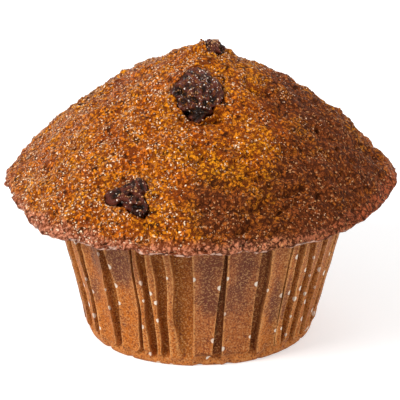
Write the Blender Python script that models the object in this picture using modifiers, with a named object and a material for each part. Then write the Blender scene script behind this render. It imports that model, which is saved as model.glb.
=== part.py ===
"""Raisin muffin: a peaked cake, three raisins sunk in its crown, and its pleated paper case.

Metres, +Z up. The origin is the middle of the flat foot of the paper case.
The front of the muffin faces -Y. Angles are in degrees round +Z, from +X.
"""

import math
import random

import bmesh
import bpy
from mathutils import Matrix, Vector, noise

# Paper case
CASE_HEIGHT = 0.0315
FOOT_RADIUS = 0.0254
WALL_SLOPE = 0.26
FOLD_DEPTH = 0.0015
PAPER_THICKNESS = 0.0003
WALL_BANDS = 2
FOOT_EDGE_HEIGHT = 0.0007
FOOT_EDGE_INSET = 0.0002
WALL_WAVER = 0.00022
WAVER_STEP = 1.7
WAVER_BAND_SHIFT = 2.1
PLEAT_SEED = 11
BACK_CREST_DEGREES = (3.0, 5.5)
BACK_GROOVE_DEGREES = (3.2, 5.2)
LAST_PLEAT_DEGREES = 352.0
FOLD_SIDE_SHARE = 0.3
FOLD_SIDE_DEGREES = 1.0
FOLD_LEAN_DEGREES = 0.5
LEAN_STEP = 2.3
FRONT_DEGREES = -90.0
# The run of pleats across the front starts this far left of it: (crest, groove) widths in degrees.
FRONT_RUN_START = -75.0
FRONT_RUN = (
    (3.2, 5.8), (6.0, 5.0), (11.0, 6.0), (8.6, 2.2), (2.7, 3.3), (2.7, 3.8), (2.7, 8.8),
    (12.0, 1.9), (13.0, 5.2), (7.3, 2.4), (2.7, 3.3), (2.7, 4.8), (3.2, 5.8), (6.0, 6.0), (4.0, 4.0),
)

# Cake
GAP = 0.00035
PEAK_HEIGHT = 0.0671
RIM_RADIUS = 0.0427
RIM_HEIGHT = 0.0356
DOME_TERMS = ((1, 0.63), (2, 0.155), (4, 0.215))
DOME_RINGS = 14
CAKE_STEPS = 80
LIP_RADIUS = 0.0007
LIP_DROP = 0.0009
UNDERSIDE_RADIUS = 0.0408
UNDERSIDE_RISE = 0.0009
UNDERSIDE_GAP = 0.0005
LUMP_SIZE = 0.0085
LUMP_HEIGHT = 0.001
RIM_STARTS = 0.4
# The overflow of the rim: (direction, width in degrees, reach).
RIM_LOBES = (
    (-176.0, 9.0, 0.0009),
    (-4.0, 10.0, 0.0010),
    (-135.0, 45.0, 0.0009),
    (-45.0, 30.0, -0.0006),
    (110.0, 25.0, 0.0007),
    (52.0, 22.0, -0.0005),
)
# Where the rim curls up: (direction, width in degrees, rise).
CURL_STARTS = 0.84
RIM_CURLS = (
    (-4.0, 16.0, 0.0014),
    (-177.0, 15.0, 0.0010),
)
# Swellings of the crown: (x, y, width, height).
CROWN_SWELLINGS = (
    (-0.0009, -0.0004, 0.0021, 0.0014),
    (0.0134, -0.0030, 0.0030, 0.0009),
    (-0.0020, -0.0090, 0.0075, 0.0005),
    (-0.0160, 0.0140, 0.0060, 0.0007),
    (-0.0345, -0.0010, 0.0085, -0.0011),
    (-0.0160, 0.0010, 0.0070, -0.0010),
    (0.0062, 0.0010, 0.0032, -0.0010),
)

# Raisins
RAISIN_SEGMENTS = 24
RAISIN_RINGS = 13
RAISIN_GAP = 0.00032
CREASE_SCALE = 2.2
MERGE_DISTANCE = 0.00001


class Raisin:
    """A raisin's name, seat and form."""

    def __init__(self, name, position, lean, turn, size, corners, corner_depth, wrinkle, phase):
        """Keep the seat's position, lean and turn in degrees, and the size, corners and wrinkling."""
        self.name = name
        self.position = position
        self.lean = lean
        self.turn = turn
        self.size = size
        self.corners = corners
        self.corner_depth = corner_depth
        self.wrinkle = wrinkle
        self.phase = phase


RAISINS = (
    Raisin(
        "raisin_peak", position=(0.0027, 0.0002, 0.0650), lean=10.0, turn=20.0,
        size=(0.0043, 0.0056, 0.0038), corners=3, corner_depth=0.10, wrinkle=0.2, phase=0.7,
    ),
    Raisin(
        "raisin_crown", position=(-0.0008, -0.0138, 0.0594), lean=34.0, turn=4.0,
        size=(0.0100, 0.0128, 0.0054), corners=4, corner_depth=0.10, wrinkle=0.2, phase=0.1,
    ),
    Raisin(
        "raisin_front", position=(-0.0150, -0.0327, 0.0431), lean=46.0, turn=-28.0,
        size=(0.0086, 0.0067, 0.0040), corners=3, corner_depth=0.40, wrinkle=0.25, phase=2.2,
    ),
)
# Finishes: (name, colour, roughness).
CRUST_FINISH = ("baked_crust", (0.42, 0.16, 0.035), 0.55)
PAPER_FINISH = ("greaseproof_paper", (0.36, 0.17, 0.075), 0.6)
RAISIN_FINISH = ("dried_fruit", (0.045, 0.018, 0.014), 0.35)

PART_NAME = "raisin_muffin"
CUTTERS_NAME = "cutters"


def clear_scene():
    """Remove every object of the scene."""
    for thing in list(bpy.data.objects):
        bpy.data.objects.remove(thing, do_unlink=True)


def new_collection(name):
    """Return a new collection linked to the scene."""
    collection = bpy.data.collections.new(name)
    bpy.context.scene.collection.children.link(collection)
    return collection


def new_material(name, colour, roughness):
    """Return a Principled material with one colour and roughness."""
    material = bpy.data.materials.new(name)
    material.use_nodes = True
    shader = material.node_tree.nodes["Principled BSDF"]
    shader.inputs["Base Color"].default_value = (*colour, 1.0)
    shader.inputs["Roughness"].default_value = roughness
    shader.inputs["Metallic"].default_value = 0.0
    return material


def mesh_object(name, shape, collection, material=None):
    """Turn a bmesh into a named object in a collection."""
    mesh = bpy.data.meshes.new(name)
    shape.to_mesh(mesh)
    shape.free()
    thing = bpy.data.objects.new(name, mesh)
    collection.objects.link(thing)
    if material:
        mesh.materials.append(material)
    mesh.shade_smooth()
    return thing


def smooth_step(low, high, value):
    """Rise smoothly from 0 at low to 1 at high."""
    share = min(max((value - low) / (high - low), 0.0), 1.0)
    return share * share * (3.0 - 2.0 * share)


def case_radius(height):
    """Radius of the outer folds of the case wall at a height."""
    return FOOT_RADIUS + WALL_SLOPE * height


def cake_body_radius(height):
    """Radius of the cake inside the case, clear of the inner folds."""
    return case_radius(height) - FOLD_DEPTH - PAPER_THICKNESS - GAP


def dome_height(share):
    """Height of the crown at a share of the rim's radius."""
    fall = sum(weight * share**power for power, weight in DOME_TERMS)
    return RIM_HEIGHT + (PEAK_HEIGHT - RIM_HEIGHT) * (1.0 - fall)


def cake_profile():
    """Outline of the cake from its peak, down its outer side, to the middle of its foot."""
    crown = [
        (RIM_RADIUS * ring / DOME_RINGS, dome_height(ring / DOME_RINGS))
        for ring in range(DOME_RINGS + 1)
    ]
    underside = CASE_HEIGHT + UNDERSIDE_GAP
    foot = PAPER_THICKNESS + GAP
    rim = [
        (RIM_RADIUS + LIP_RADIUS, RIM_HEIGHT - LIP_DROP),
        (RIM_RADIUS + LIP_RADIUS / 2, RIM_HEIGHT - 2 * LIP_DROP),
        (UNDERSIDE_RADIUS, underside + UNDERSIDE_RISE),
        (case_radius(CASE_HEIGHT) + GAP, underside),
        (cake_body_radius(CASE_HEIGHT), underside),
    ]
    body = [
        (cake_body_radius(CASE_HEIGHT / 2), CASE_HEIGHT / 2),
        (cake_body_radius(foot), foot),
        (0.0, foot),
    ]
    return crown + rim + body


def turned(name, profile, steps):
    """Spin a profile round +Z and return the closed bmesh."""
    outline = bmesh.new()
    corners = [outline.verts.new((radius, 0.0, height)) for radius, height in profile]
    for upper, lower in zip(corners, corners[1:]):
        outline.edges.new((upper, lower))
    mesh = bpy.data.meshes.new(name)
    outline.to_mesh(mesh)
    outline.free()
    thing = bpy.data.objects.new(name, mesh)
    bpy.context.scene.collection.objects.link(thing)
    screw = thing.modifiers.new("turn", "SCREW")
    screw.steps = steps
    screw.render_steps = steps
    screw.use_merge_vertices = True
    screw.merge_threshold = MERGE_DISTANCE
    graph = bpy.context.evaluated_depsgraph_get()
    shape = bmesh.new()
    shape.from_mesh(bpy.data.meshes.new_from_object(thing.evaluated_get(graph)))
    bpy.data.objects.remove(thing, do_unlink=True)
    bmesh.ops.remove_doubles(shape, verts=shape.verts, dist=MERGE_DISTANCE)
    bmesh.ops.recalc_face_normals(shape, faces=shape.faces)
    return shape


def rim_change(lobes, angle):
    """Sum of the rim's lobes at an angle in degrees."""
    change = 0.0
    for direction, width, amount in lobes:
        turn = (angle - direction + 180.0) % 360.0 - 180.0
        change += amount * math.exp(-((turn / width) ** 2))
    return change


def crown_rise(x, y):
    """Height that lumps and swellings add to the crown."""
    rise = LUMP_HEIGHT * noise.noise(Vector((x, y, 0.0)) / LUMP_SIZE)
    for centre_x, centre_y, width, amount in CROWN_SWELLINGS:
        distance = math.hypot(x - centre_x, y - centre_y)
        rise += amount * math.exp(-((distance / width) ** 2))
    return rise


def make_uneven(shape):
    """Give the turned cake its overflowing rim and lumpy crown."""
    underside = CASE_HEIGHT + UNDERSIDE_GAP
    for corner in shape.verts:
        x, y, z = corner.co
        radius = math.hypot(x, y)
        if z < underside + UNDERSIDE_RISE / 2:
            continue
        angle = math.degrees(math.atan2(y, x))
        share = radius / RIM_RADIUS
        reach = rim_change(RIM_LOBES, angle) * smooth_step(RIM_STARTS, 1.0, share)
        curl = rim_change(RIM_CURLS, angle) * smooth_step(CURL_STARTS, 1.0, share)
        scale = (radius + reach) / radius if radius > 0.0 else 1.0
        above = smooth_step(underside, RIM_HEIGHT + LIP_DROP, z)
        corner.co = (x * scale, y * scale, z + above * crown_rise(x, y) + curl)


def make_cake(collection, material):
    """Build the cake without its raisin pockets."""
    shape = turned("cake", cake_profile(), CAKE_STEPS)
    make_uneven(shape)
    bmesh.ops.triangulate(shape, faces=shape.faces)
    return mesh_object("cake", shape, collection, material)


def pleat_widths():
    """Crest and groove widths of every pleat, in degrees, closing the full turn."""
    chance = random.Random(PLEAT_SEED)
    front_width = sum(crest + groove for crest, groove in FRONT_RUN)
    back = []
    while front_width + sum(crest + groove for crest, groove in back) < LAST_PLEAT_DEGREES:
        back.append((chance.uniform(*BACK_CREST_DEGREES), chance.uniform(*BACK_GROOVE_DEGREES)))
    stretch = (360.0 - front_width) / sum(crest + groove for crest, groove in back)
    return list(FRONT_RUN) + [(crest * stretch, groove * stretch) for crest, groove in back]


def fold_outline(band):
    """Points of the pleated wall at one band: (angle in degrees, is on a crest)."""
    points = []
    angle = FRONT_DEGREES + FRONT_RUN_START
    for number, (crest, groove) in enumerate(pleat_widths()):
        lean = FOLD_LEAN_DEGREES * math.sin(LEAN_STEP * number + band)
        side = min(FOLD_SIDE_SHARE * groove, FOLD_SIDE_DEGREES)
        points.append((angle + lean, True))
        points.append((angle + crest + lean, True))
        points.append((angle + crest + side + lean, False))
        points.append((angle + crest + groove - side + lean, False))
        angle += crest + groove
    return points


def wall_ring(shape, band):
    """Add the corners of the folded wall at one band, from just above the foot to the open top."""
    height = FOOT_EDGE_HEIGHT + (CASE_HEIGHT - FOOT_EDGE_HEIGHT) * band / WALL_BANDS
    ring = []
    for number, (angle, on_crest) in enumerate(fold_outline(band)):
        waver = WALL_WAVER * math.sin(WAVER_STEP * number + WAVER_BAND_SHIFT * band) if band else 0.0
        radius = case_radius(height) + waver - (0.0 if on_crest else FOLD_DEPTH)
        place = Matrix.Rotation(math.radians(angle), 3, "Z") @ Vector((radius, 0.0, height))
        ring.append(shape.verts.new(place))
    return ring


def foot_ring(shape):
    """Add the corners of the round foot, one under each corner of the first band."""
    ring = []
    for angle, _on_crest in fold_outline(0):
        corner = Vector((FOOT_RADIUS - FOOT_EDGE_INSET, 0.0, 0.0))
        ring.append(shape.verts.new(Matrix.Rotation(math.radians(angle), 3, "Z") @ corner))
    return ring


def make_paper_case(collection, material):
    """Build the pleated cup: a folded wall raised from its round foot, then given its thickness."""
    shape = bmesh.new()
    rings = [foot_ring(shape)] + [wall_ring(shape, band) for band in range(WALL_BANDS + 1)]
    for lower, upper in zip(rings, rings[1:]):
        for index in range(len(lower)):
            following = (index + 1) % len(lower)
            shape.faces.new((lower[index], lower[following], upper[following], upper[index]))
    shape.faces.new(list(reversed(rings[0])))
    case = mesh_object("paper_case", shape, collection, material)
    wall = case.modifiers.new("paper", "SOLIDIFY")
    wall.thickness = PAPER_THICKNESS
    wall.offset = -1.0
    return case


def raisin_shape(raisin):
    """A dried raisin: a flattened ball drawn out to corners and creased across."""
    shape = bmesh.new()
    bmesh.ops.create_uvsphere(
        shape, u_segments=RAISIN_SEGMENTS, v_segments=RAISIN_RINGS, radius=1.0
    )
    shift = Vector((raisin.phase, 0.0, 0.0))
    for corner in shape.verts:
        way = corner.co.normalized()
        turn = math.atan2(way.y, way.x)
        flat = math.hypot(way.x, way.y)
        drawn = 1.0 + raisin.corner_depth * flat**2 * math.cos(raisin.corners * turn + raisin.phase)
        creased = 1.0 + raisin.wrinkle * noise.noise(way * CREASE_SCALE + shift)
        corner.co = Vector(way[axis] * drawn * creased * raisin.size[axis] / 2 for axis in range(3))
    return shape


def seat(raisin):
    """Placement of a raisin: turned in its own plane, tilted out from the axis, moved to its seat."""
    outward = math.atan2(raisin.position[1], raisin.position[0])
    return (
        Matrix.Translation(raisin.position)
        @ Matrix.Rotation(outward, 4, "Z")
        @ Matrix.Rotation(math.radians(raisin.lean), 4, "Y")
        @ Matrix.Rotation(math.radians(raisin.turn) - outward, 4, "Z")
    )


def make_raisin(raisin, collection, cutters, material, cake):
    """Build a raisin and cut its pocket into the cake."""
    shape = raisin_shape(raisin)
    bmesh.ops.transform(shape, matrix=seat(raisin), verts=shape.verts)
    pocket = shape.copy()
    mesh_object(raisin.name, shape, collection, material)
    pocket.normal_update()
    outwards = [corner.normal.copy() for corner in pocket.verts]
    for corner, outward in zip(pocket.verts, outwards):
        corner.co += outward * RAISIN_GAP
    cutter = mesh_object(raisin.name + "_pocket", pocket, cutters)
    cutter.hide_render = True
    cutter.display_type = "WIRE"
    cut = cake.modifiers.new(raisin.name + "_pocket", "BOOLEAN")
    cut.operation = "DIFFERENCE"
    cut.solver = "EXACT"
    cut.object = cutter


def main():
    """Build the muffin."""
    clear_scene()
    part = new_collection(PART_NAME)
    cutters = new_collection(CUTTERS_NAME)
    dried_fruit = new_material(*RAISIN_FINISH)
    make_paper_case(part, new_material(*PAPER_FINISH))
    cake = make_cake(part, new_material(*CRUST_FINISH))
    for raisin in RAISINS:
        make_raisin(raisin, part, cutters, dried_fruit, cake)


main()
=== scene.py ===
"""Looks of the raisin muffin: baked crust, wrinkled raisins, pleated greaseproof case and studio.

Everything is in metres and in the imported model's own frame. The front of the muffin faces -Y.
"""

import logging
import math
import random
from dataclasses import dataclass, field
from enum import Enum

import bmesh
import bpy
import numpy as np
from mathutils import Matrix, Vector, noise
from mathutils.bvhtree import BVHTree


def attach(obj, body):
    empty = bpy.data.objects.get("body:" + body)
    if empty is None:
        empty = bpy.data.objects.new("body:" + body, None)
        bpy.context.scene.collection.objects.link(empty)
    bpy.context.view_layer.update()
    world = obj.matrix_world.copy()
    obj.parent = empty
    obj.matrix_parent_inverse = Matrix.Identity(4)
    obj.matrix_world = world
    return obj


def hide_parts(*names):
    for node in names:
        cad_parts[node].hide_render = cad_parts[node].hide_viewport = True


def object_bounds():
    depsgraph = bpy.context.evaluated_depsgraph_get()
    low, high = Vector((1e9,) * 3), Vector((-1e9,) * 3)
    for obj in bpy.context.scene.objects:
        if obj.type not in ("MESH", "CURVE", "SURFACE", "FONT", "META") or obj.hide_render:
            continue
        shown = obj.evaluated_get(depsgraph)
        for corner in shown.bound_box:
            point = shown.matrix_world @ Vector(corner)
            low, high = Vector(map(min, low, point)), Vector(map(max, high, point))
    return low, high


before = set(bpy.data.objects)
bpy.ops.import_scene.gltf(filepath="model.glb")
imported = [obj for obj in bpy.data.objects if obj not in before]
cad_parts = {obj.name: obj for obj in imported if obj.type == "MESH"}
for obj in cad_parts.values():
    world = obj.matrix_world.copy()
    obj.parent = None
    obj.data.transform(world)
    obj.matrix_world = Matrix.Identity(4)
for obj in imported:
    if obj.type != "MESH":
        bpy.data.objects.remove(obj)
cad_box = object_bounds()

LOG = logging.getLogger("muffin")
MM = 0.001
BODY = "root"
RAISIN_NODES = ("raisin_peak", "raisin_crown", "raisin_front")
RAISINS_ABOVE = 0.038
RAISINS_BEFORE = 0.008
BROAD_CREST = 10.0

Colour = tuple[float, float, float]
Cloud = tuple[float, float]
Socket = bpy.types.NodeSocket


class Mark(Enum):
    """Names of the vertex attributes that a piece hands to its material."""

    BROWNING = "browning"
    CAVITY = "cavity"
    FOOT_BAND = "foot_band"
    LIP = "lip"
    RIM = "rim"
    MOISTURE = "moisture"
    LIT_FOLD_EDGE = "fold_edge"
    FOLD_SHADE = "fold_depth"
    SOAK = "soak"
    CRUMBED = "crumbed"


class CrumbKind(Enum):
    """Kinds of loose grain on the crust, each with its smallest and largest size in metres."""

    BRAN = (0.00030, 0.00075)
    # Pale grains whose colour paints glints, besides the real glints off their coat.
    PALE_GLINT = (0.00022, 0.00042)


# ---------- Small tools ----------


def smooth_step(low: float, high: float, value: float) -> float:
    """Rise smoothly from 0 at low to 1 at high."""
    share = min(max((value - low) / (high - low), 0.0), 1.0)
    return share * share * (3.0 - 2.0 * share)


def smooth_steps(low: float, high: float, values: np.ndarray) -> np.ndarray:
    """Rise smoothly from 0 at low to 1 at high, for an array."""
    share = np.clip((values - low) / (high - low), 0.0, 1.0)
    return share * share * (3.0 - 2.0 * share)


def turn_between(angle: float, direction: float) -> float:
    """Signed difference of two angles in degrees, from -180 to 180."""
    return (angle - direction + 180.0) % 360.0 - 180.0


def new_object(name: str, shape: bmesh.types.BMesh) -> bpy.types.Object:
    """Turn a bmesh into an object at the origin.

    Args:
        name: the piece's name.
        shape: the finished bmesh, which is freed.

    Returns:
        The object, linked to the scene.
    """
    mesh = bpy.data.meshes.new(name)
    shape.to_mesh(mesh)
    shape.free()
    mesh.shade_smooth()
    piece = bpy.data.objects.new(name, mesh)
    bpy.context.scene.collection.objects.link(piece)
    return piece


def cad_copy(node: str) -> bmesh.types.BMesh:
    """Copy a CAD node's mesh and merge its loose triangles.

    Args:
        node: the node's name.

    Returns:
        A new closed bmesh.
    """
    shape = bmesh.new()
    shape.from_mesh(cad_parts[node].data)
    bmesh.ops.remove_doubles(shape, verts=shape.verts, dist=0.01 * MM)
    return shape


def soften(piece: bpy.types.Object) -> None:
    """Add a Subdivision Surface modifier."""
    rounding = piece.modifiers.new("soften", "SUBSURF")
    rounding.levels = rounding.render_levels = 2


def settle_modifiers(piece: bpy.types.Object) -> None:
    """Replace a piece's mesh by its evaluated one, with no modifier left.

    Args:
        piece: the piece, whose modifiers are used up.
    """
    graph = bpy.context.evaluated_depsgraph_get()
    settled = bpy.data.meshes.new_from_object(piece.evaluated_get(graph))
    piece.modifiers.clear()
    piece.data = settled
    settled.name = piece.name


def corner_array(mesh: bpy.types.Mesh, source: str) -> np.ndarray:
    """Read the places or normals of a mesh's vertices.

    Args:
        mesh: the mesh.
        source: "co" for places or "normal" for normals.

    Returns:
        An array of one row of three for each vertex.
    """
    values = np.empty(len(mesh.vertices) * 3)
    mesh.vertices.foreach_get(source, values)
    return values.reshape(-1, 3)


def move_corners(mesh: bpy.types.Mesh, places: np.ndarray) -> None:
    """Move a mesh's vertices to new places, kept inside the CAD model's box.

    Args:
        mesh: the mesh.
        places: one row of three for each vertex, in metres.
    """
    low, high = (np.array(corner) for corner in cad_box)
    mesh.vertices.foreach_set("co", np.clip(places, low, high).ravel())
    mesh.update()


def drawn_rim(shape: bmesh.types.BMesh, rim: list[bmesh.types.BMEdge]) -> list[bmesh.types.BMEdge]:
    """Extrude a rim of edges and return the new rim."""
    made = bmesh.ops.extrude_edge_only(shape, edges=rim)["geom"]
    return [item for item in made if isinstance(item, bmesh.types.BMEdge) and item.is_boundary]


def corners_of(edges: list[bmesh.types.BMEdge]) -> list[bmesh.types.BMVert]:
    """List the vertices of some edges, each once."""
    return list({corner for edge in edges for corner in edge.verts})


def store_mark(mesh: bpy.types.Mesh, mark: Mark, values: np.ndarray) -> None:
    """Store one number for each vertex under a mark's name."""
    layer = mesh.attributes.new(mark.value, "FLOAT", "POINT")
    layer.data.foreach_set("value", np.asarray(values, dtype=np.float32))


def noise_at(places: np.ndarray, size: float, seed: float = 0.0) -> np.ndarray:
    """Smooth noise from about -1 to 1 at each place.

    Args:
        places: one row of three for each point, in metres.
        size: the size of a lump, in metres.
        seed: shifts the pattern.

    Returns:
        One number for each place.
    """
    shift = Vector((seed, 1.7 * seed, -0.6 * seed))
    read = noise.noise
    return np.array([read(Vector(place) + shift) for place in (places / size)])


def cells_at(places: np.ndarray, size: float, seed: float = 0.0) -> tuple[np.ndarray, np.ndarray]:
    """Distance to the nearest scattered centre, and that centre's own random number.

    Args:
        places: one row of three for each point, in metres.
        size: the spacing of the centres, in metres.
        seed: shifts the pattern.

    Returns:
        The distances in units of the spacing, and a number from 0 to 1 for each centre.
    """
    shift = Vector((seed, -seed, 2.1 * seed))
    distances = np.empty(len(places))
    owners = np.empty(len(places))
    for index, place in enumerate(places / size):
        near, centres = noise.voronoi(Vector(place) + shift)
        distances[index] = near[0]
        owners[index] = 0.5 + 0.5 * noise.cell(centres[0] * 37.0)
    return distances, owners


def raisin_distance(places: np.ndarray) -> np.ndarray:
    """Distance from each place to the nearest raisin.

    Args:
        places: one row of three for each point, in metres.

    Returns:
        One distance for each place, of 3 mm at most.
    """
    trees = []
    for node in RAISIN_NODES:
        shape = cad_copy(node)
        trees.append(BVHTree.FromBMesh(shape))
        shape.free()
    reach = 3.0 * MM
    distances = np.full(len(places), reach)
    for index, place in enumerate(places):
        if place[2] > RAISINS_ABOVE and place[1] < RAISINS_BEFORE:
            hits = [tree.find_nearest(Vector(place), reach)[3] for tree in trees]
            distances[index] = min((hit for hit in hits if hit is not None), default=reach)
    return distances


def distance_to_path(places: np.ndarray, path: tuple[tuple[float, float], ...]) -> np.ndarray:
    """Distance, seen from above, from each place to a path.

    Args:
        places: one row of three for each point, in metres.
        path: the path's corners (x, y) in metres.

    Returns:
        One distance for each place.
    """
    best = np.full(len(places), np.inf)
    for start, end in zip(path, path[1:]):
        origin = np.array(start)
        along = np.array(end) - origin
        share = np.clip((places[:, :2] - origin) @ along / (along @ along), 0.0, 1.0)
        gap = places[:, :2] - origin - share[:, None] * along
        best = np.minimum(best, np.hypot(gap[:, 0], gap[:, 1]))
    return best


# ---------- Shader tools and shared groups ----------


class ShaderBench:
    """Adds nodes to one node tree and wires them."""

    def __init__(self, tree: bpy.types.NodeTree) -> None:
        """Keep the tree that nodes are added to."""
        self.tree = tree

    def node(self, kind: str, **settings: object) -> bpy.types.Node:
        """Add a node and set its properties.

        Args:
            kind: Blender's name for the type of node.
            settings: the node's properties.

        Returns:
            The node.
        """
        made = self.tree.nodes.new(kind)
        for name, value in settings.items():
            setattr(made, name, value)
        return made

    def feed(self, socket: Socket, value: object) -> None:
        """Wire a socket into another, or set its constant.

        Args:
            socket: the input to feed.
            value: an output socket, a number, a vector or a colour.
        """
        if isinstance(value, Socket):
            self.tree.links.new(value, socket)
        elif isinstance(value, tuple) and len(value) == 3 and socket.type == "RGBA":
            socket.default_value = (*value, 1.0)
        else:
            socket.default_value = value

    def feed_all(self, made: bpy.types.Node, *values: object) -> bpy.types.Node:
        """Feed a node's first inputs in order.

        Args:
            made: the node.
            values: a value for each of its first inputs.

        Returns:
            The same node.
        """
        for socket, value in zip(made.inputs, values):
            self.feed(socket, value)
        return made

    def math(self, operation: str, first: object, second: object = 0.0, clamp: bool = False) -> Socket:
        """Add a Math node and return its result."""
        made = self.node("ShaderNodeMath", operation=operation, use_clamp=clamp)
        return self.feed_all(made, first, second).outputs[0]

    def times(self, first: object, second: object) -> Socket:
        """Multiply two numbers."""
        return self.math("MULTIPLY", first, second)

    def vector_math(self, operation: str, *vectors: object) -> bpy.types.NodeOutputs:
        """Add a Vector Math node and return its outputs."""
        made = self.node("ShaderNodeVectorMath", operation=operation)
        return self.feed_all(made, *vectors).outputs

    def scaled(self, vector: object, scale: object) -> Socket:
        """Scale a vector.

        Args:
            vector: the vector.
            scale: what its length is multiplied by.

        Returns:
            The scaled vector.
        """
        result = self.vector_math("SCALE", vector)["Vector"]
        self.feed(result.node.inputs["Scale"], scale)
        return result

    def split(self, vector: object) -> bpy.types.NodeOutputs:
        """Split a vector into its three numbers."""
        return self.feed_all(self.node("ShaderNodeSeparateXYZ"), vector).outputs

    def joined(self, first: object, second: object) -> Socket:
        """Join two numbers into a flat vector."""
        return self.feed_all(self.node("ShaderNodeCombineXYZ"), first, second).outputs[0]

    def remap(
        self, value: object, low: float, high: float, to_low: float = 0.0, to_high: float = 1.0
    ) -> Socket:
        """Move a value smoothly from one range to another.

        Args:
            value: the number to move.
            low: the value that becomes to_low, as does all beyond it.
            high: the value that becomes to_high, as does all beyond it.
            to_low: the result at low.
            to_high: the result at high.

        Returns:
            The result.
        """
        made = self.node("ShaderNodeMapRange", interpolation_type="SMOOTHSTEP")
        self.feed(made.inputs["Value"], value)
        ends = {"From Min": low, "From Max": high, "To Min": to_low, "To Max": to_high}
        for name, number in ends.items():
            made.inputs[name].default_value = number
        return made.outputs["Result"]

    def mix(self, share: object, first: object, second: object) -> Socket:
        """Mix two colours.

        Args:
            share: the share of the second, from 0 to 1.
            first: the first colour.
            second: the second colour.

        Returns:
            The mixed colour.
        """
        made = self.node("ShaderNodeMix", data_type="RGBA", clamp_factor=True)
        self.feed(made.inputs["Factor"], share)
        self.feed(made.inputs[6], first)
        self.feed(made.inputs[7], second)
        return made.outputs[2]

    def layered(self, base: object, *coats: tuple[object, object]) -> Socket:
        """Lay colours over a base in turn.

        Args:
            base: the colour underneath.
            coats: each coat's share and colour.

        Returns:
            The colour on top.
        """
        for share, colour in coats:
            base = self.mix(share, base, colour)
        return base

    def noise(
        self, vector: object, scale: object, detail: float, roughness: float = 0.5
    ) -> bpy.types.Node:
        """Add a Noise texture.

        Args:
            vector: the places to read it at.
            scale: how many lumps fit in one unit.
            detail: the number of finer layers.
            roughness: how strong the finer layers are.

        Returns:
            The texture's node.
        """
        made = self.node("ShaderNodeTexNoise")
        self.feed(made.inputs["Vector"], vector)
        self.feed(made.inputs["Scale"], scale)
        made.inputs["Detail"].default_value = detail
        made.inputs["Roughness"].default_value = roughness
        return made

    def voronoi(self, vector: object, scale: float) -> bpy.types.Node:
        """Add a Voronoi texture.

        Args:
            vector: the places to read it at.
            scale: how many cells fit in one unit.

        Returns:
            The texture's node.
        """
        made = self.node("ShaderNodeTexVoronoi")
        self.feed(made.inputs["Vector"], vector)
        made.inputs["Scale"].default_value = scale
        return made

    def bump(self, height: object, distance: float, strength: float = 1.0) -> Socket:
        """Add a Bump node.

        Args:
            height: the relief, from 0 to 1.
            distance: how deep the relief is, in metres.
            strength: the share of the relief that is used.

        Returns:
            The bumped normal.
        """
        made = self.node("ShaderNodeBump")
        made.inputs["Strength"].default_value = strength
        made.inputs["Distance"].default_value = distance
        self.feed(made.inputs["Height"], height)
        return made.outputs["Normal"]

    def object_places(self) -> Socket:
        """Return the object's own coordinates, in metres."""
        return self.node("ShaderNodeTexCoord").outputs["Object"]

    def mark(self, mark: Mark) -> Socket:
        """Return a vertex mark of the piece."""
        return self.node("ShaderNodeAttribute", attribute_name=mark.value).outputs["Fac"]

    def seen(self) -> Socket:
        """Return 1 for camera, mirror and glass rays, and 0 for those that carry light about."""
        ray = self.node("ShaderNodeLightPath").outputs
        either = self.math("MAXIMUM", ray["Is Camera Ray"], ray["Is Glossy Ray"])
        return self.math("MAXIMUM", either, ray["Is Transmission Ray"])

    def group(self, tree: bpy.types.NodeTree, **values: object) -> bpy.types.NodeOutputs:
        """Place a shader group and feed its inputs by name.

        Args:
            tree: the shader group.
            values: a value for each of its inputs.

        Returns:
            The group's outputs.
        """
        made = self.node("ShaderNodeGroup")
        made.node_tree = tree
        for name, value in values.items():
            self.feed(made.inputs[name], value)
        return made.outputs


class ShaderGroup:
    """A shader node group with named inputs and outputs."""

    def __init__(self, name: str, inputs: dict[str, str], outputs: tuple[str, ...]) -> None:
        """Make the group's tree and sockets.

        Args:
            name: the group's name.
            inputs: socket name to socket type, such as "Float".
            outputs: the names of the numbers it puts out.
        """
        self.tree = bpy.data.node_groups.new(name, "ShaderNodeTree")
        for direction, sockets in (("INPUT", inputs), ("OUTPUT", dict.fromkeys(outputs, "Float"))):
            for label, kind in sockets.items():
                self.tree.interface.new_socket(label, in_out=direction, socket_type="NodeSocket" + kind)
        self.bench = ShaderBench(self.tree)
        self.inputs = self.bench.node("NodeGroupInput").outputs
        self.outputs = self.bench.node("NodeGroupOutput").inputs


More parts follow.
